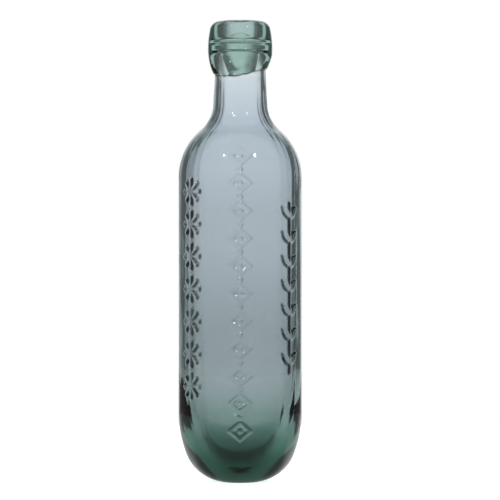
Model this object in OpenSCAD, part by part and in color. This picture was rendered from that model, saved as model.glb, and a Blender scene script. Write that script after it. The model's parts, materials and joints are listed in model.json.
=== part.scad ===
// Mineral water bottle of hand-blown glass, closed from inside by a loose glass marble.
// The marble seals against a rubber ring in the lip while the bottle is full and gassy.
// Millimetres. The origin is the centre of the flat under the base, and +Z runs up the neck.

/* [Body] */
// Height from the flat under the base to the top of the lip
total_h = 230; // [205:1:260]
// Outer diameter of the straight wall
body_d = 61.8; // [58:0.2:66]
// Thickness of the glass in the straight wall
wall_t = 3.2; // [2.4:0.1:4.2]

/* [Base] */
// Diameter of the flat that the bottle stands on
flat_d = 18; // [14:0.5:24]
// Radius of the shallow dish outside the flat
dish_r = 50; // [44:1:60]
// Radius of the heel, where the base turns up into the wall
heel_r = 21.6; // [18:0.2:24]
// Radius of the low part of the wall, which draws in to the heel
low_wall_r = 58; // [50:1:70]
// Angle that the low part of the wall turns through, in degrees
low_wall_turn = 21; // [17:1:24]
// Thickness of the glass under the cavity
base_t = 11; // [7:0.5:14]
// Height of the cavity's rounded end, where the glass thickens towards the base
cavity_end_h = 50; // [40:1:60]
// Squareness of that rounded end, where 2 is an ellipse
cavity_end_square = 2.2; // [2:0.1:2.6]

/* [Neck] */
// Length of the neck from its foot to the lip
neck_l = 15.3; // [8:0.1:25]
// Radius of the hollow curve between shoulder and neck
neck_sweep_r = 18; // [14:0.5:20]
// Thickness of the neck's wall at its foot
neck_foot_t = 2.9; // [2.4:0.1:3.4]
// Thickness of the neck's wall under the lip
neck_top_t = 2.1; // [1.7:0.1:2.4]
// Length of the straight stretch of neck that shows under the lip
neck_straight = 2; // [1:0.5:4]
// How far the neck runs up inside the lip that was wound round it
neck_in_lip = 9.9; // [7:0.1:10.5]

/* [Lip] */
// Largest diameter of the lip
lip_d = 32.4; // [30.5:0.1:36]
// Height of the lip
lip_h = 25.4; // [24:0.1:28]
// Depth of its widest level below the top
lip_widest_depth = 14; // [12:0.5:15]
// Diameter at the corner round the top
lip_corner_d = 30.2; // [28.6:0.1:30.4]
// Depth of that corner below the top
lip_corner_depth = 3.5; // [2.8:0.1:4.2]
// Radius of the rounded edge of the mouth
mouth_edge_r = 1.8; // [1.2:0.1:2.2]

/* [Marble and seal] */
// Diameter of the marble
marble_d = 18; // [17:0.1:18.6]
// How much smaller the mouth is than the marble, in diameter
mouth_less = 0.6; // [0.3:0.1:1.2]
// How far the ledge over the seal ring stands into the mouth
ledge_t = 0.3; // [0.2:0.05:0.4]
// How much smaller the seal ring's hole is than the marble, in diameter
seal_less = 3; // [2.2:0.1:3.2]
// Thickness of the round rubber that the seal ring is made of
seal_t = 3.2; // [2.8:0.1:3.4]
// Depth of the seal ring's middle below the top of the lip
seal_depth = 10.6; // [9.8:0.1:11.2]

/* [Clearances] */
// Gap round the marble in the throat under the seal ring
throat_gap = 0.7; // [0.5:0.05:0.9]
// Gap round the marble in the neck
neck_gap = 1.7; // [1.3:0.1:1.9]
// Gap between the seal ring and its groove
groove_gap = 0.05; // [0.02:0.01:0.1]
// Gap between the marble and the seal ring when it is up
seal_gap = 0.1; // [0.05:0.05:0.2]
// Gap from the top of the marble to the straight part of the mouth
mouth_gap = 0.3; // [0.1:0.1:0.6]

/* [Raised ornament] */
// How far the ornament stands out of the wall
relief_h = 0.9; // [0.5:0.1:1.2]
// How deep its root reaches into the wall
relief_root = 1; // [0.6:0.1:1.4]
// Width of the lozenges in the front column
lozenge_w = 12.6; // [9:0.2:14]
// Height of the lozenges
lozenge_h = 10.4; // [8:0.2:11]
// Width of the strokes that the lozenges are drawn with
lozenge_stroke = 1.9; // [1.4:0.1:2.2]
// Diameter of the beads in and between the lozenges
bead_d = 2.6; // [1.8:0.1:2.6]
// Distance from one lozenge to the next
lozenge_pitch = 13.5; // [13.2:0.1:13.5]
// Height of the lowest lozenge's middle
lozenge_low_z = 27; // [24:0.5:30]
// How far up the shoulder the highest lozenge's middle may lie
lozenge_over = 12; // [4:0.5:13]
// Direction of the star column round the bottle, from the front
star_turn = -51; // [-70:1:-40]
// Diameter of the stars
star_d = 13; // [9:0.5:14]
// Number of rays that a star has
star_rays = 8; // [5:1:9]
// Width of a star's rays
star_ray_w = 2; // [1.4:0.1:2.2]
// Distance from one star to the next
star_pitch = 16; // [14.5:0.5:16]
// Height of the lowest star's middle
star_low_z = 48.5; // [44:0.5:52]
// Least distance from the highest star's middle to the shoulder
star_under = 5; // [0:0.5:12]
// Direction of the leaf column round the bottle, from the front
leaf_turn = 52; // [40:1:70]
// Length of a leaf
leaf_l = 8.4; // [6:0.2:9]
// Width of a leaf
leaf_w = 3.6; // [2.6:0.1:4]
// Angle between a leaf and its stem, in degrees
leaf_lean = 42; // [32:1:50]
// Width of the stem
stem_w = 1.5; // [1.2:0.1:2]
// Distance from one leaf pair to the next
leaf_pitch = 12; // [11:0.5:13]
// Height at which the lowest leaf pair leaves the stem
leaf_low_z = 59; // [54:0.5:64]
// Least distance from the highest leaf pair's foot to the shoulder
leaf_under = 15; // [8:0.5:24]

/* [Smoothness] */
// Angle between the points of a rounded outline, in degrees
arc_step = 6; // [4:1:9]
// Facets that a full circle is shown with
$fn = 96; // [48:12:144]

/* [Hidden] */

// Radii that follow from the marble, so that it runs, seals and stays in
marble_r = marble_d / 2;
mouth_r = (marble_d - mouth_less) / 2;
throat_r = marble_r + throat_gap;
bore_r = marble_r + neck_gap;
seal_r = (marble_d - seal_less + seal_t) / 2;
neck_foot_r = bore_r + neck_foot_t;
neck_top_r = bore_r + neck_top_t;

// Levels up the lip
lip_z = total_h - lip_h;
lip_widest_z = total_h - lip_widest_depth;
lip_corner_z = total_h - lip_corner_depth;
seal_z = total_h - seal_depth;
neck_end_z = lip_z + neck_in_lip;
neck_straight_z = lip_z - neck_straight;

// The marble touches the ring all round when the line between their middles is this long
seal_reach = marble_r + seal_t / 2;
marble_z = seal_z - sqrt(pow(seal_reach, 2) - pow(seal_r, 2)) - seal_gap;
mouth_z = marble_z + marble_r + mouth_gap;

// Outside of the base: a dish about the axis, the heel, and the low wall
body_r = body_d / 2;
dish_z = sqrt(pow(dish_r, 2) - pow(flat_d / 2, 2));
heel_x = body_r - low_wall_r + (low_wall_r - heel_r) * cos(low_wall_turn);
heel_z = dish_z - sqrt(pow(dish_r - heel_r, 2) - pow(heel_x, 2));
heel_turn = atan2(heel_x, dish_z - heel_z);
low_wall_z = heel_z + (low_wall_r - heel_r) * sin(low_wall_turn);

// Shoulder: a dome about the axis, then the sweep into the neck
sweep_x = neck_foot_r + neck_sweep_r;
sweep_z = lip_z - neck_l;
shoulder_z = sweep_z - sqrt(pow(body_r + neck_sweep_r, 2) - pow(sweep_x, 2));
sweep_turn = atan2(sweep_z - shoulder_z, sweep_x);

// Inside of the shoulder, about the same middles
cavity_r = body_r - wall_t;
inner_sweep_r = neck_sweep_r + neck_foot_t;
inner_sweep_z = shoulder_z + sqrt(pow(cavity_r + inner_sweep_r, 2) - pow(sweep_x, 2));
inner_sweep_turn = atan2(inner_sweep_z - shoulder_z, sweep_x);

// Inside of the base: the cavity's rounded end
cavity_end_z = base_t + cavity_end_h;
cavity_bend = 2 / cavity_end_square;
cavity_steps = ceil(90 / arc_step);

// The columns of the ornament hold as many of each as fit under the shoulder
lozenges = floor((shoulder_z + lozenge_over - lozenge_low_z) / lozenge_pitch) + 1;
stars = floor((shoulder_z - star_under - star_low_z) / star_pitch) + 1;
leaf_pairs = floor((shoulder_z - leaf_under - leaf_low_z) / leaf_pitch) + 1;

// Points of an arc after its start, about middle c, from angle a to angle b
function arc(c, r, a, b) =
    let (n = max(2, ceil(abs(b - a) / arc_step)))
    [for (i = [1:n]) c + r * [cos(a + (b - a) * i / n), sin(a + (b - a) * i / n)]];

// Radius of the arc that is upright at p and passes through q
function upright_arc_r(p, q) = (pow(p.x - q.x, 2) + pow(p.y - q.y, 2)) / (2 * abs(p.x - q.x));

// Radius of the arc that is level at p and passes through q
function level_arc_r(p, q) = (pow(p.x - q.x, 2) + pow(p.y - q.y, 2)) / (2 * abs(p.y - q.y));

// Outside of the glass from the edge of the flat to the foot of the neck
outside = concat(
    [[flat_d / 2, 0]],
    arc([0, dish_z], dish_r, -90 + asin(flat_d / 2 / dish_r), -90 + heel_turn),
    arc([heel_x, heel_z], heel_r, -90 + heel_turn, -low_wall_turn),
    arc([body_r - low_wall_r, low_wall_z], low_wall_r, -low_wall_turn, 0),
    [[body_r, shoulder_z]],
    arc([0, shoulder_z], body_r, 0, sweep_turn),
    arc([sweep_x, sweep_z], neck_sweep_r, 180 + sweep_turn, 180)
);

// A point of the cavity's rounded end, t degrees round from its lowest point
function cavity_end(t) = [
    cavity_r * pow(sin(t), cavity_bend),
    cavity_end_z - cavity_end_h * pow(cos(t), cavity_bend)
];

// Inside of the glass from the neck down to the floor
inside = concat(
    [[bore_r, inner_sweep_z]],
    arc([sweep_x, inner_sweep_z], inner_sweep_r, 180, 180 + inner_sweep_turn),
    arc([0, shoulder_z], cavity_r, inner_sweep_turn, 0),
    [for (i = [cavity_steps:-1:0]) cavity_end(90 * i / cavity_steps)]
);

module blown_glass() {
    rotate_extrude()
        polygon(concat(
            [[0, 0]],
            outside,
            [
                [neck_top_r, neck_straight_z],
                [neck_top_r, neck_end_z],
                [bore_r, neck_end_z]
            ],
            inside
        ));
}

// A column of the ornament, carried straight out through the wall
module through_wall(turn) {
    rotate([90, 0, turn])
        linear_extrude(body_r + 2 * relief_h)
            children();
}

// The skin that the ornament is cut from, from its root to its face, above the rounded base
module relief_skin() {
    band = [for (p = outside) if (p.x > body_r / 2) p];
    last = len(band) - 1;
    rotate_extrude()
        polygon(concat(
            [for (p = band) p + [relief_h, 0]],
            [for (i = [last:-1:0]) band[i] - [relief_root, 0]]
        ));
}

module diamond(w, h) {
    polygon([[w / 2, 0], [0, h / 2], [-w / 2, 0], [0, -h / 2]]);
}

module lozenge() {
    shrink = 1 - 2 * lozenge_stroke * sqrt(pow(lozenge_w, 2) + pow(lozenge_h, 2)) / (lozenge_w * lozenge_h);
    difference() {
        diamond(lozenge_w, lozenge_h);
        diamond(lozenge_w * shrink, lozenge_h * shrink);
    }
}

// Square-ended rays, with a notch between each two
module star() {
    turn = 360 / star_rays;
    ray = [star_ray_w / 2, star_d / 2];
    notch = [ray.x, ray.x / tan(turn / 2)];
    polygon([
        for (i = [0:star_rays - 1], q = [[-ray.x, ray.y], ray, notch])
            [q.x * cos(turn * i) + q.y * sin(turn * i), q.y * cos(turn * i) - q.x * sin(turn * i)]
    ]);
}

// A pointed leaf that starts at the stem and points up and out
module leaf() {
    side = [[0.25, 0.78], [0.5, 1], [0.75, 0.78]];
    rotate(-leaf_lean)
        polygon(concat(
            [[0, 0]],
            [for (s = side) [leaf_w / 2 * s.y, leaf_l * s.x]],
            [[0, leaf_l]],
            [for (i = [2:-1:0]) [-leaf_w / 2 * side[i].y, leaf_l * side[i].x]]
        ));
}

module bead() {
    circle(d = bead_d, $fn = 8);
}

module leaf_pair() {
    leaf();
    mirror([1, 0]) leaf();
}

module lozenge_column() {
    for (i = [0:lozenges - 1])
        translate([0, lozenge_low_z + i * lozenge_pitch]) {
            lozenge();
            bead();
        }
    for (i = [0:lozenges - 2])
        translate([0, lozenge_low_z + (i + 0.5) * lozenge_pitch])
            bead();
}

module star_column() {
    for (i = [0:stars - 1])
        translate([0, star_low_z + i * star_pitch])
            star();
}

module leaf_column() {
    for (i = [0:leaf_pairs - 1])
        translate([0, leaf_low_z + i * leaf_pitch])
            leaf_pair();
    translate([-stem_w / 2, leaf_low_z - leaf_pitch / 3])
        square([stem_w, leaf_pitch * (leaf_pairs - 0.5)]);
}

module ornament() {
    intersection() {
        relief_skin();
        union() {
            through_wall(0) lozenge_column();
            through_wall(star_turn) star_column();
            through_wall(leaf_turn) leaf_column();
        }
    }
}

// The blown bottle with its raised ornament, up to the sheared end of the neck
module bottle_body() {
    color([0.66, 0.76, 0.76, 0.5]) {
        blown_glass();
        ornament();
    }
}

// The heavy lip, wound on hot round and over the end of the neck
module applied_lip() {
    top_x = mouth_r + mouth_edge_r;
    widest = [lip_d / 2, lip_widest_z];
    corner = [lip_corner_d / 2, lip_corner_z];
    low_arc_r = upright_arc_r(widest, [neck_top_r, lip_z]);
    high_arc_r = upright_arc_r(widest, corner);
    top_arc_r = level_arc_r([top_x, total_h], corner);
    color([0.52, 0.66, 0.58, 0.6])
        difference() {
            rotate_extrude()
                polygon(concat(
                    [[neck_top_r, neck_end_z], [neck_top_r, lip_z]],
                    arc(
                        [widest.x - low_arc_r, widest.y], low_arc_r,
                        -asin((widest.y - lip_z) / low_arc_r), 0
                    ),
                    arc(
                        [widest.x - high_arc_r, widest.y], high_arc_r,
                        0, asin((corner.y - widest.y) / high_arc_r)
                    ),
                    arc(
                        [top_x, total_h - top_arc_r], top_arc_r,
                        90 - asin((corner.x - top_x) / top_arc_r), 90
                    ),
                    arc([top_x, total_h - mouth_edge_r], mouth_edge_r, 90, 180),
                    [
                        [mouth_r, mouth_z],
                        [mouth_r - ledge_t, seal_z],
                        [throat_r, seal_z],
                        [throat_r, neck_end_z + (bore_r - throat_r)],
                        [bore_r, neck_end_z]
                    ]
                ));
            rotate_extrude()
                translate([seal_r, seal_z])
                    circle(seal_t / 2 + groove_gap);
        }
}

module seal_ring() {
    color([0.45, 0.42, 0.36])
        rotate_extrude()
            translate([seal_r, seal_z])
                circle(seal_t / 2);
}

module marble() {
    color([0.6, 0.75, 0.68, 0.7])
        translate([0, 0, marble_z])
            sphere(marble_r);
}

bottle_body();
applied_lip();
seal_ring();
marble();
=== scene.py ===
"""A round-ended water bottle of hand-blown aqua glass, with its rubber seal and glass marble.

Lengths are in millimetres and turned into metres where a mesh is made.
Angles round the bottle are in degrees from its front, which faces -Y, towards +X.
"""

import json
import math

import bpy
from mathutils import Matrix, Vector

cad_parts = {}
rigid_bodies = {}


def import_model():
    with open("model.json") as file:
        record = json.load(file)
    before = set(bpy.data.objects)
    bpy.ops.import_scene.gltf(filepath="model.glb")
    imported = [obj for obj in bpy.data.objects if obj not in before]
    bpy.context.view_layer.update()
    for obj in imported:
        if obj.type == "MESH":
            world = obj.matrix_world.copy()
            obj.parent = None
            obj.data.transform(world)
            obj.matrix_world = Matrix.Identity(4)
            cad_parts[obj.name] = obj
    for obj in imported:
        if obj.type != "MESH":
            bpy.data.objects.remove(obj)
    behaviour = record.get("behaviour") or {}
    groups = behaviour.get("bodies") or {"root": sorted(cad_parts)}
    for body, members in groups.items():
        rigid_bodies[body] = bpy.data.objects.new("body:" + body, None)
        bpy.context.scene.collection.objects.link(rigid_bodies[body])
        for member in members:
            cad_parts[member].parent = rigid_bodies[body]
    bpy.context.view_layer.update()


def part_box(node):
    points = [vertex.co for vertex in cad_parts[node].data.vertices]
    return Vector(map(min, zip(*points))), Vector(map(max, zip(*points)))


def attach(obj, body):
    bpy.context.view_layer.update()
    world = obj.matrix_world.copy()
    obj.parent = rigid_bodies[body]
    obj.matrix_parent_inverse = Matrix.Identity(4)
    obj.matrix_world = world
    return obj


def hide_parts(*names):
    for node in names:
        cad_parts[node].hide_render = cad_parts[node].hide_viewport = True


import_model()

MM = 0.001
IN_DEGREES = 180 / math.pi
GLASS_IOR = 1.52

# Outside of the blown glass
BODY_R = 30.9
WALL_T = 3.2
FLAT_R = 9.0
DISH_R = 50.0
HEEL_R = 21.6
LOW_WALL_R = 58.0
LOW_WALL_TURN = 21.0
NECK_SWEEP_R = 18.0
NECK_FOOT_R = 13.6
NECK_R = 12.8
LIP_Z = 204.6
NECK_STRAIGHT = 2.0
NECK_L = 15.3
TOP_Z = 230.0

# Inside of the blown glass. An END_SQUARE of 2 would make its round end an ellipse.
BORE_R = 10.7
FLOOR_Z = 11.0
END_H = 50.0
END_SQUARE = 2.2

# Lip
LIP_R = 16.2
LIP_WIDEST_Z = 216.0
LIP_CORNER = (15.1, 226.5)
MOUTH_R = 8.7
MOUTH_EDGE_R = 1.8
LEDGE_R = 8.4
THROAT_R = 9.7
NECK_END_Z = 214.5
GROOVE_GAP = 0.05
MOUTH_GAP = 0.3
LEDGE_LEAN = 0.03

# Points of the crease where the lip sits on the neck, out from its wall and up from the lip's foot
CREASE = ((0.0, -0.4), (0.2, -0.1), (0.7, 0.15))

# Levels and middles that follow
SWEEP_X = NECK_FOOT_R + NECK_SWEEP_R
SWEEP_Z = LIP_Z - NECK_L
SHOULDER_Z = SWEEP_Z - math.sqrt((BODY_R + NECK_SWEEP_R) ** 2 - SWEEP_X**2)
SWEEP_TURN = math.degrees(math.atan2(SWEEP_Z - SHOULDER_Z, SWEEP_X))
DISH_Z = math.sqrt(DISH_R**2 - FLAT_R**2)
HEEL_X = BODY_R - LOW_WALL_R + (LOW_WALL_R - HEEL_R) * math.cos(math.radians(LOW_WALL_TURN))
HEEL_Z = DISH_Z - math.sqrt((DISH_R - HEEL_R) ** 2 - HEEL_X**2)
HEEL_TURN = math.degrees(math.atan2(HEEL_X, DISH_Z - HEEL_Z))
LOW_WALL_Z = HEEL_Z + (LOW_WALL_R - HEEL_R) * math.sin(math.radians(LOW_WALL_TURN))
CAVITY_R = BODY_R - WALL_T
INNER_SWEEP_R = SWEEP_X - BORE_R
INNER_SWEEP_Z = SHOULDER_Z + math.sqrt((CAVITY_R + INNER_SWEEP_R) ** 2 - SWEEP_X**2)
INNER_TURN = math.degrees(math.atan2(INNER_SWEEP_Z - SHOULDER_Z, SWEEP_X))

# The seal ring and the marble, from the frame
ring_low, ring_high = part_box("seal_ring")
RING_T = (ring_high.z - ring_low.z) / MM
RING_R = ring_high.x / MM - RING_T / 2
RING_Z = (ring_high.z + ring_low.z) / 2 / MM
marble_low, marble_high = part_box("marble")
MARBLE_R = (marble_high.z - marble_low.z) / 2 / MM
MARBLE_Z = (marble_high.z + marble_low.z) / 2 / MM

# Raised ornament
RELIEF_H = 0.84
RELIEF_EDGE = 0.75
LOZENGE_W = 12.6
LOZENGE_H = 10.4
LOZENGE_STROKE = 1.9
BEAD_D = 2.6
LOZENGE_PITCH = 13.5
LOZENGE_LOW_Z = 27.0
LOZENGES = 11
STAR_TURN = -51.0
STAR_D = 13.0
STAR_RAY_W = 2.0
STAR_PITCH = 16.0
STAR_LOW_Z = 48.5
STARS = 7
LEAF_TURN = 52.0
LEAF_L = 8.4
LEAF_W = 3.6
LEAF_LEAN = 42.0
STEM_W = 1.5
LEAF_PITCH = 12.0
LEAF_LOW_Z = 59.0
LEAF_PAIRS = 7

# Unevenness of the hand-blown glass. LIP_SWAY is a share of SWAY, MARBLE_OUT_OF_ROUND one of the
# marble's radius and RIBS one of INNER_LUMPS.
SWAY = 0.16
LIP_SWAY = 0.6
INNER_LUMPS = 0.9
RIBS = 0.5
MARBLE_OUT_OF_ROUND = 0.004

# How often the unevenness changes: round the bottle, and for each metre up it
SWAY_RISE = 12.0
RIBS_ROUND = 3.0
RIBS_RISE = 6.0

# Mould seams: one up the front and one up the back of the neck, and one that runs round its foot.
# The back one is named twice, because the turn starts and ends near it.
SEAM_H = 0.1
SEAM_TURNS = (2.0, 182.0, -178.0)
SEAM_WIDTH = 0.9
HOOP_Z = 180.5
HOOP_W = 0.6

# Lower edge of the lip: it dips to the left, is a little ragged, and has one broad drip left of the front
EDGE_TILT = 1.0
EDGE_RISE = 0.6
EDGE_RAGGED = 1.2
DRIP_TURN = -15.0
DRIP_WIDTH = 38.0
DRIP_L = 2.9

# The ornament stays below this height and outside this radius
RELIEF_TOP_Z = 175.0
RELIEF_LEAST_R = 15.0

# Heights between which each unevenness comes in or dies away
SWAY_IN = (4.0, 30.0)
LIP_SWAY_IN = (205.0, 212.0)
INNER_IN = (12.0, 30.0)
INNER_OUT = (190.0, 206.0)
DRIP_IN = (196.0, 203.0)
DRIP_OUT = (206.5, 214.0)
SEAM_IN = (158.0, 163.0)
SEAM_OUT = (200.0, 203.0)

# Mesh round the bottle, in degrees: fine at the ornament, coarser the further from it
ORNAMENT_HALF_TURN = 13.0
FINE_STEP = 0.9
COARSE_STEP = 4.0
STEP_GROWTH = 0.5

# Mesh along the outline: close rows where the ornament or a tight curve is
ROW_FINE = 0.52
ROW_CURVE = 1.1
ROW_DISH = 1.2
ROW_COARSE = 2.0
ROW_PLAIN = 3.0
ROW_CREASE = 0.5
ROW_BELLY = 0.7
ROW_LIP_TOP = 0.45
ROW_MOUTH_EDGE = 0.35
ROW_MOUTH = 0.8
ROW_GROOVE = 0.3
ROW_INNER_SWEEP = 1.0
FLOOR_ROWS = 36
SHOULDER_FINE_TURN = 20.0
MERGE_DISTANCE = 0.004


class Value:
    """One socket of a node tree. Sums and products of values add their own nodes."""

    def __init__(self, graph, socket):
        self.graph = graph
        self.socket = socket

    def maths(self, operation, *others):
        return self.graph.maths(operation, self, *others)

    def __add__(self, other):
        return self.maths("ADD", other)

    def __sub__(self, other):
        return self.maths("SUBTRACT", other)

    def __mul__(self, other):
        return self.maths("MULTIPLY", other)

    def __truediv__(self, other):
        return self.maths("DIVIDE", other)

    def __rsub__(self, other):
        return self.graph.maths("SUBTRACT", other, self)


class Graph:
    """A node tree that is written as Python expressions."""

    def __init__(self, tree):
        self.tree = tree

    def put(self, socket, value):
        if isinstance(value, Value):
            self.tree.links.new(value.socket, socket)
        elif isinstance(value, (list, tuple)) and value and isinstance(value[0], Value):
            for each in value:
                self.tree.links.new(each.socket, socket)
        else:
            socket.default_value = value

    def node(self, kind, sockets=(), out=0, stops=None, **settings):
        """Adds a node: its settings first, then the values or links of its sockets."""
        made = self.tree.nodes.new(kind)
        for name, value in settings.items():
            setattr(made, name, value)
        if stops:
            fill_ramp(made.color_ramp, stops)
        for name, value in dict(sockets).items():
            self.put(made.inputs[name], value)
        return Value(self, made.outputs[out])

    def maths(self, operation, *values):
        return self.node("ShaderNodeMath", dict(enumerate(values)), operation=operation)

    def between(self, value, low, high):
        """0 at low, 1 at high, and eased between."""
        sockets = {"Value": value, "From Min": low, "From Max": high}
        return self.node("ShaderNodeMapRange", sockets, interpolation_type="SMOOTHSTEP", clamp=True)

    def noise(self, vector, scale, detail=2.0, roughness=0.5):
        sockets = {"Vector": vector, "Scale": scale, "Detail": detail, "Roughness": roughness}
        return self.node("ShaderNodeTexNoise", sockets)

    def mix(self, factor, a, b):
        sockets = {"Factor": factor, 6: a, 7: b}
        return self.node("ShaderNodeMix", sockets, out=2, data_type="RGBA")


def fill_ramp(ramp, stops):
    """Each stop is a place from 0 to 1 and a colour."""
    ramp.interpolation = "EASE"
    while len(ramp.elements) > 1:
        ramp.elements.remove(ramp.elements[-1])
    ramp.elements[0].position = stops[0][0]
    ramp.elements[0].color = (*stops[0][1], 1)
    for place, colour in stops[1:]:
        ramp.elements.new(place).color = (*colour, 1)


def other(value, name):
    """Another output of the node that made a value."""
    return Value(value.graph, value.socket.node.outputs[name])


# Outlines


def arc(cx, cz, r, a, b, step):
    """Points along an arc after its start, from angle a to angle b, about step apart."""
    count = max(1, math.ceil(abs(math.radians(b - a)) * r / step))
    angles = [math.radians(a + (b - a) * i / count) for i in range(1, count + 1)]
    return [(cx + r * math.cos(t), cz + r * math.sin(t)) for t in angles]


def line(start, end, step):
    """Points along a line after its start, about step apart."""
    count = max(1, math.ceil(math.dist(start, end) / step))
    return [
        (start[0] + (end[0] - start[0]) * i / count, start[1] + (end[1] - start[1]) * i / count)
        for i in range(1, count + 1)
    ]


def upright_arc(p, q, step):
    """Points after p along the arc that is upright at p and ends at q."""
    r = ((p[0] - q[0]) ** 2 + (p[1] - q[1]) ** 2) / (2 * abs(p[0] - q[0]))
    turn = math.degrees(math.asin((q[1] - p[1]) / r))
    return arc(p[0] - r, p[1], r, 0, turn, step)


def outer_wall():
    """The outside from the middle of the base to the neck under the lip."""
    flat_turn = math.degrees(math.asin(FLAT_R / DISH_R))
    points = [(0.0, 0.0)]
    points += line((0, 0), (FLAT_R, 0), ROW_PLAIN)
    points += arc(0, DISH_Z, DISH_R, -90 + flat_turn, -90 + HEEL_TURN, ROW_DISH)
    points += arc(HEEL_X, HEEL_Z, HEEL_R, -90 + HEEL_TURN, -LOW_WALL_TURN, ROW_CURVE)
    points += arc(BODY_R - LOW_WALL_R, LOW_WALL_Z, LOW_WALL_R, -LOW_WALL_TURN, 0, ROW_FINE)
    points += line((BODY_R, LOW_WALL_Z), (BODY_R, SHOULDER_Z), ROW_FINE)
    points += arc(0, SHOULDER_Z, BODY_R, 0, SHOULDER_FINE_TURN, ROW_FINE)
    points += arc(0, SHOULDER_Z, BODY_R, SHOULDER_FINE_TURN, SWEEP_TURN, ROW_CURVE)
    points += arc(SWEEP_X, SWEEP_Z, NECK_SWEEP_R, 180 + SWEEP_TURN, 180, ROW_CURVE)
    points += line((NECK_FOOT_R, SWEEP_Z), (NECK_R, LIP_Z - NECK_STRAIGHT), ROW_COARSE)
    return points


def lip_outside():
    """The lip's outside, from its lower edge over its belly and top to the mouth."""
    under, crease, low = ((NECK_R + out, LIP_Z + up) for out, up in CREASE)
    widest = (LIP_R, LIP_WIDEST_Z)
    corner_r, corner_z = LIP_CORNER
    top_x = MOUTH_R + MOUTH_EDGE_R
    across, down = corner_r - top_x, TOP_Z - corner_z
    top_r = (down**2 + across**2) / (2 * down)
    spread = math.degrees(math.asin(across / top_r))
    points = line((NECK_R, LIP_Z - NECK_STRAIGHT), under, ROW_CREASE)
    points += [crease, low]
    points += upright_arc(widest, low, ROW_BELLY)[-2::-1] + [widest]
    points += upright_arc(widest, LIP_CORNER, ROW_BELLY)
    points += arc(top_x, TOP_Z - top_r, top_r, 90 - spread, 90, ROW_LIP_TOP)
    return points


def lip_inside():
    """Over the mouth's edge, down past the groove of the seal ring to the neck's bore."""
    top_x = MOUTH_R + MOUTH_EDGE_R
    mouth_z = MARBLE_Z + MARBLE_R + MOUTH_GAP
    groove_r = RING_T / 2 + GROOVE_GAP
    enter = math.degrees(math.acos((LEDGE_R + LEDGE_LEAN - RING_R) / groove_r))
    leave = math.degrees(math.acos((THROAT_R - RING_R) / groove_r))
    ledge_end = (LEDGE_R, RING_Z + groove_r * math.sin(math.radians(enter)))
    points = arc(top_x, TOP_Z - MOUTH_EDGE_R, MOUTH_EDGE_R, 90, 180, ROW_MOUTH_EDGE)
    points += line((MOUTH_R, TOP_Z - MOUTH_EDGE_R), (MOUTH_R, mouth_z), ROW_MOUTH)
    points += line((MOUTH_R, mouth_z), ledge_end, ROW_MOUTH)
    points += arc(RING_R, RING_Z, groove_r, enter, -leave, ROW_GROOVE)
    points += line(points[-1], (THROAT_R, NECK_END_Z + BORE_R - THROAT_R), ROW_MOUTH)
    points += line(points[-1], (BORE_R, NECK_END_Z), ROW_CREASE)
    return points


def inner_wall():
    """The inside from the neck's bore down to the middle of the floor."""
    points = line((BORE_R, NECK_END_Z), (BORE_R, INNER_SWEEP_Z), ROW_COARSE)
    points += arc(SWEEP_X, INNER_SWEEP_Z, INNER_SWEEP_R, 180, 180 + INNER_TURN, ROW_INNER_SWEEP)
    points += arc(0, SHOULDER_Z, CAVITY_R, INNER_TURN, 0, ROW_DISH)
    points += line((CAVITY_R, SHOULDER_Z), (CAVITY_R, FLOOR_Z + END_H), ROW_PLAIN)
    for i in range(1, FLOOR_ROWS + 1):
        t = math.radians(90 * (FLOOR_ROWS - i) / FLOOR_ROWS)
        x = CAVITY_R * math.sin(t) ** (2 / END_SQUARE)
        points.append((x, FLOOR_Z + END_H * (1 - math.cos(t) ** (2 / END_SQUARE))))
    return points


def ease(value, low, high):
    """0 below low, 1 above high, and smooth between."""
    t = min(1.0, max(0.0, (value - low) / (high - low)))
    return t * t * (3 - 2 * t)


def outline_object():
    """The glass's outline as a line of points, each with how much of each unevenness it takes."""
    wall = outer_wall()
    outside = lip_outside()
    hidden = lip_inside()
    inside = inner_wall()
    points = wall + outside + hidden + inside
    mesh = bpy.data.meshes.new("outline")
    mesh.from_pydata(
        [(x * MM, 0, z * MM) for x, z in points],
        [(i, i + 1) for i in range(len(points) - 1)],
        [],
    )
    weights = {"relief": [], "sway": [], "inner": [], "drip": []}
    for i, (x, z) in enumerate(points):
        outer = i < len(wall)
        lip = len(wall) <= i < len(wall) + len(outside)
        inner = i >= len(wall) + len(outside) + len(hidden)
        lumpy = ease(z, *INNER_IN) * (1 - ease(z, *INNER_OUT))
        dripping = ease(z, *DRIP_IN) * (1 - ease(z, *DRIP_OUT))
        weights["relief"].append(float(outer and z < RELIEF_TOP_Z and x > RELIEF_LEAST_R))
        weights["sway"].append(outer * ease(z, *SWAY_IN) + lip * LIP_SWAY * ease(z, *LIP_SWAY_IN))
        weights["inner"].append(inner * lumpy)
        weights["drip"].append((outer or lip) * dripping)
    for name, values in weights.items():
        mesh.attributes.new(name, "FLOAT", "POINT").data.foreach_set("value", values)
    return helper("outline", mesh), len(points)


def turns_object():
    """The angles of the mesh's upright lines, close together where the ornament is."""
    columns = [STAR_TURN, 0.0, LEAF_TURN]
    angles = []
    angle = -180.0
    while angle < 180.0:
        angles.append(angle)
        near = any(abs(angle - c) < ORNAMENT_HALF_TURN for c in columns)
        gap = min(abs(angle - c) - ORNAMENT_HALF_TURN for c in columns)
        step = FINE_STEP if near else min(COARSE_STEP, max(FINE_STEP, gap * STEP_GROWTH))
        angle += step
    angles.append(180.0)
    mesh = bpy.data.meshes.new("turns")
    mesh.from_pydata([(math.radians(a), 0, 0) for a in angles], [], [])
    return helper("turns", mesh), len(angles)


def helper(name, mesh):
    """An object that a node tree reads and that is removed in the end."""
    made = bpy.data.objects.new(name, mesh)
    bpy.context.scene.collection.objects.link(made)
    made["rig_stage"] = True
    return made


# Ornament, drawn flat: x round the wall, y up the bottle


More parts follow.
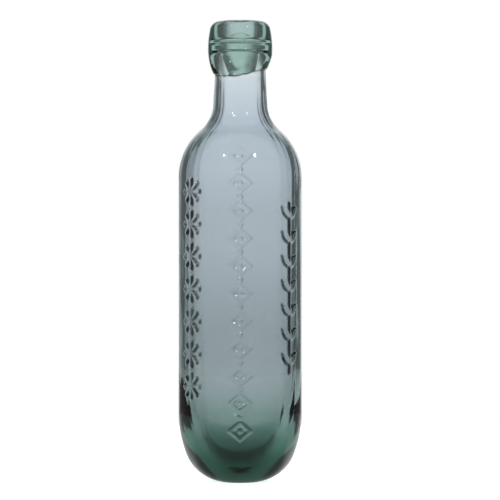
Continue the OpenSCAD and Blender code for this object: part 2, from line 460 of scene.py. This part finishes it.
def flat_shape(name, polygons):
    """Filled polygons, each a list of points."""
    points = []
    faces = []
    for polygon in polygons:
        faces.append(range(len(points), len(points) + len(polygon)))
        points += [(x * MM, y * MM, 0) for x, y in polygon]
    mesh = bpy.data.meshes.new(name)
    mesh.from_pydata(points, [], [list(f) for f in faces])
    return helper(name, mesh)


def disc(d, sides=16):
    turn = 2 * math.pi / sides
    return [(d / 2 * math.cos(i * turn), d / 2 * math.sin(i * turn)) for i in range(sides)]


def lozenge_shape(trim):
    """The outline of a lozenge with a bead in the middle, drawn in by trim for the soft edge."""
    stroke = LOZENGE_STROKE - 2 * trim
    slant = math.hypot(LOZENGE_W, LOZENGE_H) / (LOZENGE_W * LOZENGE_H)
    outer = 1 - 2 * trim * slant
    inner = 1 - 2 * (trim + stroke) * slant
    corners = [(LOZENGE_W / 2, 0), (0, LOZENGE_H / 2), (-LOZENGE_W / 2, 0), (0, -LOZENGE_H / 2)]
    sides = []
    for i in range(4):
        p, q = corners[i], corners[(i + 1) % 4]
        ring = [(p, outer), (q, outer), (q, inner), (p, inner)]
        sides.append([(c[0] * share, c[1] * share) for c, share in ring])
    return flat_shape("lozenge", sides + [disc(BEAD_D - 2 * trim)])


def star_shape(trim):
    """Square-ended rays that cross in the middle."""
    w = STAR_RAY_W / 2 - trim
    reach = STAR_D / 2 - trim
    bar = ((w, reach), (-w, reach), (-w, -reach), (w, -reach))
    rays = []
    for i in range(4):
        c, s = math.cos(math.pi / 4 * i), math.sin(math.pi / 4 * i)
        rays.append([(x * c - y * s, x * s + y * c) for x, y in bar])
    return flat_shape("star", rays)


def leaf_shape(trim):
    """A pair of pointed leaves that lean out from the stem."""
    half = [(0.0, 0.0), (0.25, 0.78), (0.5, 1.0), (0.75, 0.78), (1.0, 0.0)]
    length = LEAF_L - 2 * trim
    width = LEAF_W / 2 - trim
    edge = [(width * w, trim + length * s) for s, w in half]
    outline = edge + [(-x, y) for x, y in edge[-2:0:-1]]
    c, s = math.cos(math.radians(LEAF_LEAN)), math.sin(math.radians(LEAF_LEAN))
    right = [(x * c + y * s, y * c - x * s) for x, y in outline]
    left = [(-x, y) for x, y in reversed(right)]
    return flat_shape("leaves", [right, left])


def stem_shape(trim):
    """A stretch of stem, as long as the pitch of the leaves."""
    w = STEM_W / 2 - trim
    low = -LEAF_PITCH / 3
    return flat_shape("stem", [[(w, low), (w, low + LEAF_PITCH), (-w, low + LEAF_PITCH), (-w, low)]])


def column(graph, shape, turn, low_z, pitch, count):
    """Copies of a flat shape, one above the other, at one direction round the bottle."""
    start = (math.radians(turn) * BODY_R * MM, low_z * MM, 0)
    sockets = {"Count": count, "Start Location": start, "Offset": (0, pitch * MM, 0)}
    places = graph.node("GeometryNodeMeshLine", sockets, mode="OFFSET", count_mode="TOTAL")
    flat = graph.node("GeometryNodeObjectInfo", {"Object": shape}, out="Geometry")
    return graph.node("GeometryNodeInstanceOnPoints", {"Points": places, "Instance": flat})


# Meshes made by node trees


def new_tree(name, inputs):
    """An empty geometry tree with named inputs, each a name, a kind of socket and a value."""
    tree = bpy.data.node_groups.new(name, "GeometryNodeTree")
    tree.interface.new_socket("Geometry", in_out="INPUT", socket_type="NodeSocketGeometry")
    tree.interface.new_socket("Geometry", in_out="OUTPUT", socket_type="NodeSocketGeometry")
    for label, kind, value in inputs:
        socket = tree.interface.new_socket(label, in_out="INPUT", socket_type=kind)
        if value is not None:
            socket.default_value = value
    graph = Graph(tree)
    entry = tree.nodes.new("NodeGroupInput")
    return graph, {socket.name: Value(graph, socket) for socket in entry.outputs if socket.name}


def grow(name, host, graph, result, objects=None):
    """Runs a tree on its host and gives the result as a plain mesh object."""
    tree = graph.tree
    leave = tree.nodes.new("NodeGroupOutput")
    tree.links.new(result.socket, leave.inputs["Geometry"])
    modifier = host.modifiers.new(name, "NODES")
    modifier.node_group = tree
    for item in tree.interface.items_tree:
        if item.in_out == "INPUT" and objects and item.name in objects:
            modifier[item.identifier] = objects[item.name]
    depsgraph = bpy.context.evaluated_depsgraph_get()
    mesh = bpy.data.meshes.new_from_object(host.evaluated_get(depsgraph), depsgraph=depsgraph)
    host.modifiers.remove(modifier)
    mesh.name = name
    made = bpy.data.objects.new(name, mesh)
    bpy.context.scene.collection.objects.link(made)
    return made


def ornament_object():
    """All three columns of the ornament, laid out flat."""
    trim = RELIEF_EDGE / 2
    bead = flat_shape("bead", [disc(BEAD_D - 2 * trim)])
    graph, _ = new_tree("Ornament columns", [])
    middle = LOZENGE_LOW_Z + LOZENGE_PITCH / 2
    columns = [
        column(graph, lozenge_shape(trim), 0, LOZENGE_LOW_Z, LOZENGE_PITCH, LOZENGES),
        column(graph, bead, 0, middle, LOZENGE_PITCH, LOZENGES - 1),
        column(graph, star_shape(trim), STAR_TURN, STAR_LOW_Z, STAR_PITCH, STARS),
        column(graph, leaf_shape(trim), LEAF_TURN, LEAF_LOW_Z, LEAF_PITCH, LEAF_PAIRS),
        column(graph, stem_shape(trim), LEAF_TURN, LEAF_LOW_Z, LEAF_PITCH, LEAF_PAIRS),
    ]
    joined = graph.node("GeometryNodeJoinGeometry", {"Geometry": columns})
    solid = graph.node("GeometryNodeRealizeInstances", {"Geometry": joined})
    host = helper("ornament_host", bpy.data.meshes.new("ornament_host"))
    made = grow("ornament", host, graph, solid)
    made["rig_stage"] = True
    return made


def sample(graph, source, value, index, kind="FLOAT"):
    sockets = {"Geometry": source, "Value": value, "Index": index}
    return graph.node("GeometryNodeSampleIndex", sockets, data_type=kind, domain="POINT")


def bump_at(graph, angle, middle, width):
    """A smooth hump of height 1 at one direction round the bottle, in degrees."""
    away = (angle - math.radians(middle)) / math.radians(width)
    return graph.maths("EXPONENT", away * away * -0.5)


def glass_object(material):
    """The glass as one closed skin: the outline turned round the axis, then made uneven."""
    outline, rows = outline_object()
    turns, columns = turns_object()
    ornament = ornament_object()
    inputs = [
        ("Turns", "NodeSocketObject", None),
        ("Ornament", "NodeSocketObject", None),
        ("Relief", "NodeSocketFloat", RELIEF_H * MM),
        ("Soft edge", "NodeSocketFloat", RELIEF_EDGE * MM),
        ("Sway", "NodeSocketFloat", SWAY * MM),
        ("Inner lumps", "NodeSocketFloat", INNER_LUMPS * MM),
        ("Seam", "NodeSocketFloat", SEAM_H * MM),
    ]
    graph, given = new_tree("Turned glass", inputs)
    turn_points = graph.node("GeometryNodeObjectInfo", {"Object": given["Turns"]}, out="Geometry")
    ornament_faces = graph.node("GeometryNodeObjectInfo", {"Object": given["Ornament"]}, out="Geometry")
    size = {"Size X": rows - 1.0, "Size Y": columns - 1.0, "Vertices X": rows, "Vertices Y": columns}
    grid = graph.node("GeometryNodeMeshGrid", size)
    place = graph.node("GeometryNodeInputPosition")
    split = graph.node("ShaderNodeSeparateXYZ", {"Vector": place})
    row = (split + (rows - 1) / 2).maths("ROUND")
    turn = (other(split, "Y") + (columns - 1) / 2).maths("ROUND")

    profile = sample(graph, given["Geometry"], place, row, "FLOAT_VECTOR")
    profile = graph.node("ShaderNodeSeparateXYZ", {"Vector": profile})
    radius = profile
    height = other(profile, "Z")
    angle = sample(graph, turn_points, place, turn, "FLOAT_VECTOR")
    angle = graph.node("ShaderNodeSeparateXYZ", {"Vector": angle})
    weight = {}
    for name in ("relief", "sway", "inner", "drip"):
        attribute = graph.node("GeometryNodeInputNamedAttribute", {"Name": name}, data_type="FLOAT")
        weight[name] = sample(graph, given["Geometry"], attribute, row)

    flat = graph.node("ShaderNodeCombineXYZ", {"X": angle * (BODY_R * MM), "Y": height, "Z": 0.0})
    near = {"Geometry": ornament_faces, "Sample Position": flat}
    away = graph.node("GeometryNodeProximity", near, out="Distance", target_element="FACES")
    raised = graph.node(
        "ShaderNodeMapRange",
        {"Value": away, "From Min": 0.0, "From Max": given["Soft edge"], "To Min": 1.0, "To Max": 0.0},
        interpolation_type="SMOOTHSTEP",
        clamp=True,
    )

    side = angle.maths("SINE")
    front = angle.maths("COSINE")
    round_place = graph.node("ShaderNodeCombineXYZ", {"X": side, "Y": front, "Z": height * SWAY_RISE})
    sway = graph.noise(round_place, scale=1.3, detail=1.0)
    lumps = graph.noise(round_place, scale=1.1, roughness=0.6) - 0.5
    rib_place = {"X": side * RIBS_ROUND, "Y": front * RIBS_ROUND, "Z": height * RIBS_RISE}
    rib_place = graph.node("ShaderNodeCombineXYZ", rib_place)
    ribs = graph.noise(rib_place, scale=1.6, detail=1.0) - 0.5
    seams = [bump_at(graph, angle, turn, SEAM_WIDTH) for turn in SEAM_TURNS]
    starts = graph.between(height, SEAM_IN[0] * MM, SEAM_IN[1] * MM)
    ends = graph.between(height, SEAM_OUT[1] * MM, SEAM_OUT[0] * MM)
    hoop = (height - HOOP_Z * MM) / (HOOP_W * MM)
    seam = (seams[0] + seams[1] + seams[2]) * starts * ends
    seam = seam + graph.maths("EXPONENT", hoop * hoop * -0.5)
    rim = graph.node("ShaderNodeCombineXYZ", {"X": side, "Y": front, "Z": 0.0})
    ragged = (graph.noise(rim, scale=3.0, detail=1.0) - 0.5) * EDGE_RAGGED
    drip = bump_at(graph, angle, DRIP_TURN, DRIP_WIDTH) * DRIP_L
    drop = (side * EDGE_TILT + EDGE_RISE - drip + ragged) * MM

    radius = radius + raised * weight["relief"] * given["Relief"]
    radius = radius - sway * weight["sway"] * given["Sway"]
    radius = radius + (lumps + ribs * RIBS) * weight["inner"] * given["Inner lumps"]
    radius = radius + seam * (weight["sway"] * given["Seam"])
    height = height + drop * weight["drip"]
    moved = {"X": radius * side, "Y": radius * front * -1.0, "Z": height}
    moved = graph.node("ShaderNodeCombineXYZ", moved)
    shaped = graph.node("GeometryNodeSetPosition", {"Geometry": grid, "Position": moved})
    closed = graph.node("GeometryNodeMergeByDistance", {"Geometry": shaped, "Distance": MERGE_DISTANCE * MM})
    outwards = graph.node("GeometryNodeFlipFaces", {"Mesh": closed})
    smooth = graph.node("GeometryNodeSetShadeSmooth", {"Geometry": outwards})
    real = graph.node("GeometryNodeRealizeInstances", {"Geometry": smooth})
    done = graph.node("GeometryNodeSetMaterial", {"Geometry": real, "Material": material})
    return grow("bottle_glass", outline, graph, done, {"Turns": turns, "Ornament": ornament})


def piece(name, points, faces, material):
    """A smooth mesh object from points in millimetres."""
    mesh = bpy.data.meshes.new(name)
    mesh.from_pydata([(x * MM, y * MM, z * MM) for x, y, z in points], [], faces)
    mesh.polygons.foreach_set("use_smooth", [True] * len(mesh.polygons))
    mesh.materials.append(material)
    made = bpy.data.objects.new(name, mesh)
    bpy.context.scene.collection.objects.link(made)
    return made


def seal_ring_object(material):
    """The rubber ring: a round section turned round the axis."""
    around, across = 96, 24
    points, faces = [], []
    for i in range(around):
        a = 2 * math.pi * i / around
        here, following = i * across, (i + 1) % around * across
        for j in range(across):
            b = 2 * math.pi * j / across
            r = RING_R + RING_T / 2 * math.cos(b)
            points.append((r * math.cos(a), r * math.sin(a), RING_Z + RING_T / 2 * math.sin(b)))
            up = (j + 1) % across
            faces.append((here + j, following + j, following + up, here + up))
    return piece("seal_ring_rubber", points, faces, material)


def marble_object(material):
    """The glass marble, very slightly out of round, as pressed balls are."""
    around, up = 64, 32
    points = [(0, 0, MARBLE_Z - MARBLE_R)]
    for j in range(1, up):
        b = math.pi * j / up
        for i in range(around):
            a = 2 * math.pi * i / around
            r = MARBLE_R * (1 - MARBLE_OUT_OF_ROUND * (1 - math.cos(2 * a + b)) * math.sin(b))
            out = r * math.sin(b)
            points.append((out * math.cos(a), out * math.sin(a), MARBLE_Z - r * math.cos(b)))
    points.append((0, 0, MARBLE_Z + MARBLE_R))
    faces = []
    for i in range(around):
        n = (i + 1) % around
        faces.append((0, 1 + n, 1 + i))
        for j in range(up - 2):
            low, high = 1 + j * around, 1 + (j + 1) * around
            faces.append((low + i, low + n, high + n, high + i))
        last = 1 + (up - 2) * around
        faces.append((last + i, last + n, len(points) - 1))
    return piece("glass_marble", points, faces, material)


# Materials. Colours, and how much of each kind of wear there is.

HAZE = 0.12
HAZE_COLOUR = (0.8, 0.84, 0.84, 1)
CLEAN_ROUGHNESS = 0.012
SCUFF_ROUGHNESS = 0.08
BOTTLE_TINT = (0.38, 0.62, 0.56)
BOTTLE_DENSITY = 100.0
MARBLE_COLOURS = ((0.86, 0.95, 0.91, 1), (0.93, 0.97, 0.96, 1))
MARBLE_CLEAN_ROUGHNESS = 0.015
MARBLE_SCUFF_ROUGHNESS = 0.1
MARBLE_TINT = (0.5, 0.72, 0.66)
MARBLE_DENSITY = 30.0
SHADOW_COLOUR = (0.86, 0.92, 0.9, 1)
RUBBER_COLOURS = ((0.42, 0.47, 0.46, 1), (0.58, 0.62, 0.6, 1))
RUBBER_ROUGHNESS = 0.45
BLOOM_ROUGHNESS = 0.15


def new_material(name):
    material = bpy.data.materials.new(name)
    material.use_nodes = True
    tree = material.node_tree
    tree.nodes.clear()
    return material, Graph(tree), tree.nodes.new("ShaderNodeOutputMaterial")


def glass_body(graph, exit_node, colour, roughness, normal, tint, density):
    """Clear glass that lets the lamps shine through and is the deeper in colour the thicker it is."""
    sockets = {
        "Base Color": colour,
        "Roughness": roughness,
        "IOR": GLASS_IOR,
        "Transmission Weight": 1.0,
        "Normal": normal,
    }
    glass = graph.node("ShaderNodeBsdfPrincipled", sockets)
    clear = graph.node("ShaderNodeBsdfTransparent", {"Color": SHADOW_COLOUR})
    shadow = graph.node("ShaderNodeLightPath", out="Is Shadow Ray")
    mixed = graph.node("ShaderNodeMixShader", {"Fac": shadow, 1: glass, 2: clear})
    graph.put(exit_node.inputs["Surface"], mixed)
    depth = graph.node("ShaderNodeVolumeAbsorption", {"Color": (*tint, 1), "Density": density})
    graph.put(exit_node.inputs["Volume"], depth)


def bottle_glass_material():
    """Aqua glass with painted shade that darkens it towards the bottom, to near-black green at the heavy
    base, and painted light at the lip; with a faint haze, scuffed patches and a soft ripple.
    """
    material, graph, exit_node = new_material("Aqua bottle glass")
    place = graph.node("ShaderNodeTexCoord", out="Object")
    height = graph.node("ShaderNodeSeparateXYZ", {"Vector": place}, out="Z") / (TOP_Z * MM)
    # Share of the bottle's height, and the glass's colour there: painted shade that darkens the glass
    # towards the bottom, and painted light that makes it lightest at the foot of the lip
    stops = [
        (0.0, (0.10, 0.17, 0.135)),
        (0.045, (0.26, 0.37, 0.32)),
        (0.09, (0.62, 0.66, 0.68)),
        (0.14, (0.66, 0.68, 0.71)),
        (0.3, (0.62, 0.64, 0.68)),
        (0.55, (0.76, 0.76, 0.82)),
        (0.78, (0.87, 0.87, 0.95)),
        (0.87, (0.92, 0.92, 0.98)),
        (0.9, (1.0, 1.0, 1.0)),
        (1.0, (0.93, 0.93, 0.96)),
    ]
    colour = graph.node("ShaderNodeValToRGB", {"Fac": height}, stops=stops)
    haze = graph.between(graph.noise(place, scale=60.0, detail=4.0, roughness=0.6), low=0.35, high=0.75)
    colour = graph.mix(haze * HAZE, colour, HAZE_COLOUR)
    scuffs = graph.between(graph.noise(place, scale=420.0, detail=5.0, roughness=0.7), low=0.6, high=0.8)
    worn = graph.between(graph.noise(place, scale=45.0, detail=3.0, roughness=0.6), low=0.5, high=0.7)
    roughness = scuffs * worn * SCUFF_ROUGHNESS + CLEAN_ROUGHNESS
    grain = graph.noise(place, scale=160.0)
    normal = graph.node("ShaderNodeBump", {"Strength": 0.25, "Distance": 0.0002, "Height": grain})
    glass_body(graph, exit_node, colour, roughness, normal, BOTTLE_TINT, BOTTLE_DENSITY)
    return material


def marble_glass_material():
    """Pale green glass with a swirl in it and fine knocks on its surface."""
    material, graph, exit_node = new_material("Marble glass")
    place = graph.node("ShaderNodeTexCoord", out="Object")
    swirl = graph.between(graph.noise(place, scale=180.0, detail=3.0, roughness=0.6), low=0.35, high=0.7)
    colour = graph.mix(swirl, *MARBLE_COLOURS)
    scuffs = graph.between(graph.noise(place, scale=1400.0, detail=3.0, roughness=0.7), low=0.6, high=0.75)
    roughness = scuffs * MARBLE_SCUFF_ROUGHNESS + MARBLE_CLEAN_ROUGHNESS
    normal = graph.node("ShaderNodeBump", {"Strength": 0.1, "Distance": 0.0002, "Height": swirl})
    glass_body(graph, exit_node, colour, roughness, normal, MARBLE_TINT, MARBLE_DENSITY)
    return material


def seal_rubber_material():
    """Old pale rubber with a chalky bloom."""
    material, graph, exit_node = new_material("Pale seal rubber")
    place = graph.node("ShaderNodeTexCoord", out="Object")
    bloom = graph.between(graph.noise(place, scale=500.0, detail=4.0, roughness=0.65), low=0.35, high=0.7)
    colour = graph.mix(bloom, *RUBBER_COLOURS)
    sockets = {
        "Base Color": colour,
        "Roughness": bloom * BLOOM_ROUGHNESS + RUBBER_ROUGHNESS,
        "IOR": 1.5,
        "Normal": graph.node("ShaderNodeBump", {"Strength": 0.3, "Distance": 0.0001, "Height": bloom}),
    }
    graph.put(exit_node.inputs["Surface"], graph.node("ShaderNodeBsdfPrincipled", sockets))
    return material


# Stage, in metres. Angles are in degrees: round the bottle from straight behind it, and up from level.

WHITE_FADES_LEFT = (-36.0, -4.0)
WHITE_FADES_RIGHT = (34.0, 14.0)
WHITE_FADES_UP = (80.0, 60.0)
GREY_STARTS_IN_FRONT = (74.0, 100.0)
DARK_LEVEL = 0.14
FRONT_MORE = 0.5
FLOOR_HALF = 0.45
FLOOR_GAP = 0.00005
FLOOR_SHINE = 0.7
FLOOR_SHINE_IN_GLASS = 0.88
FLOOR_WHITE_STARTS = (-0.012, 0.012)
BACKDROP_OFFSET = 0.15
MIDDLE = (0, 0, 0.12)


def surroundings(graph, x, y, reach):
    """What the glass sees in one direction: white behind it, dark to both sides, grey in front."""
    angle = x.maths("ARCTAN2", y) * IN_DEGREES
    white = graph.between(angle, *WHITE_FADES_LEFT) * graph.between(angle, *WHITE_FADES_RIGHT) * reach
    front = graph.between(angle.maths("ABSOLUTE"), *GREY_STARTS_IN_FRONT)
    return white + (1 - white) * (front * FRONT_MORE + DARK_LEVEL)


def floor_object():
    """A white floor a hair under the bottle. In the glass it carries the surroundings on."""
    corners = [(x * FLOOR_HALF, y * FLOOR_HALF, -FLOOR_GAP) for x, y in ((-1, -1), (1, -1), (1, 1), (-1, 1))]
    mesh = bpy.data.meshes.new("floor")
    mesh.from_pydata(corners, [], [(0, 1, 2, 3)])
    material, graph, exit_node = new_material("White floor")
    place = graph.node("ShaderNodeTexCoord", out="Object")
    split = graph.node("ShaderNodeSeparateXYZ", {"Vector": place})
    back = other(split, "Y")
    level = surroundings(graph, split, back + BACKDROP_OFFSET, graph.between(back, *FLOOR_WHITE_STARTS))
    seen = graph.node("ShaderNodeLightPath", out="Is Camera Ray")
    in_glass = other(seen, "Is Glossy Ray") + other(seen, "Is Transmission Ray")
    in_glass = in_glass.maths("MINIMUM", 1.0)
    colour = graph.mix(in_glass, (0.8, 0.8, 0.8, 1), (0.15, 0.15, 0.15, 1))
    paper = graph.node("ShaderNodeBsdfDiffuse", {"Color": colour})
    strength = (seen * FLOOR_SHINE).maths("MAXIMUM", in_glass * level * FLOOR_SHINE_IN_GLASS)
    white = graph.node("ShaderNodeEmission", {"Color": (1, 1, 1, 1), "Strength": strength})
    graph.put(exit_node.inputs["Surface"], graph.node("ShaderNodeAddShader", {0: paper, 1: white}))
    mesh.materials.append(material)
    made = bpy.data.objects.new("floor", mesh)
    bpy.context.scene.collection.objects.link(made)
    made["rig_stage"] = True


def world_light():
    """The surroundings, which are plain white where they are seen straight past the bottle."""
    world = bpy.data.worlds.new("Studio")
    bpy.context.scene.world = world
    world.use_nodes = True
    world.node_tree.nodes.clear()
    graph = Graph(world.node_tree)
    exit_node = world.node_tree.nodes.new("ShaderNodeOutputWorld")
    way = graph.node("ShaderNodeTexCoord", out="Generated")
    split = graph.node("ShaderNodeSeparateXYZ", {"Vector": way})
    rise = other(split, "Z").maths("ARCSINE") * IN_DEGREES
    level = surroundings(graph, split, other(split, "Y"), graph.between(rise, *WHITE_FADES_UP))
    seen = graph.node("ShaderNodeLightPath", out="Is Camera Ray")
    level = seen + (1 - seen) * level
    shine = graph.node("ShaderNodeBackground", {"Color": (1, 1, 1, 1), "Strength": level})
    graph.put(exit_node.inputs["Surface"], shine)


def lamp(name, place, target, size, power, mirrored=False):
    """A soft rectangle of light, which shows in the glass only if it is mirrored."""
    light = bpy.data.lights.new(name, "AREA")
    light.shape = "RECTANGLE"
    light.size, light.size_y = size
    light.energy = power
    made = bpy.data.objects.new(name, light)
    made.location = place
    made.rotation_euler = (Vector(target) - Vector(place)).to_track_quat("-Z", "Y").to_euler()
    made.visible_glossy = mirrored
    made.visible_transmission = mirrored
    bpy.context.scene.collection.objects.link(made)


def camera():
    """Level, straight in front, a little to the right of the axis and just above half height."""
    distance = 1.4
    frame_width = 0.25
    right, up = 0.0049, 0.11575
    lens = bpy.data.cameras.new("camera")
    lens.sensor_width = 36.0
    lens.lens = lens.sensor_width * distance / frame_width
    made = bpy.data.objects.new("camera", lens)
    made.location = (right, -distance, up)
    made.rotation_euler = (math.radians(90), 0, 0)
    bpy.context.scene.collection.objects.link(made)
    bpy.context.scene.camera = made


def build():
    """The three pieces, each on its body. The helpers that shaped them are removed."""
    glass = glass_object(bottle_glass_material())
    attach(glass, "bottle")
    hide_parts("bottle_body", "applied_lip")

    ring = seal_ring_object(seal_rubber_material())
    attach(ring, "bottle")
    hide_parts("seal_ring")

    marble = marble_object(marble_glass_material())
    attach(marble, "marble")
    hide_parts("marble")

    for made in [o for o in bpy.data.objects if o.get("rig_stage")]:
        bpy.data.objects.remove(made)


build()
floor_object()
world_light()
lamp("left_panel", (-0.9, -0.9, 0.5), MIDDLE, size=(0.25, 0.7), power=6)
lamp("right_panel", (0.9, -0.7, 0.45), MIDDLE, size=(0.2, 0.6), power=5)
lamp("top_panel", (0, 0.1, 1.2), (0, 0, 0.1), size=(0.5, 0.5), power=6)
lamp("left_spark", (-0.54, -0.74, 0.9), MIDDLE, size=(0.09, 0.09), power=1.2, mirrored=True)
lamp("right_spark", (0.5, -0.77, 0.9), MIDDLE, size=(0.09, 0.09), power=1.2, mirrored=True)
camera()

# The glass is crossed many times on the way through the lip and the marble
BOUNCES = 24
bpy.context.scene.view_settings.view_transform = "Standard"
bpy.context.scene.cycles.max_bounces = BOUNCES
bpy.context.scene.cycles.transmission_bounces = BOUNCES
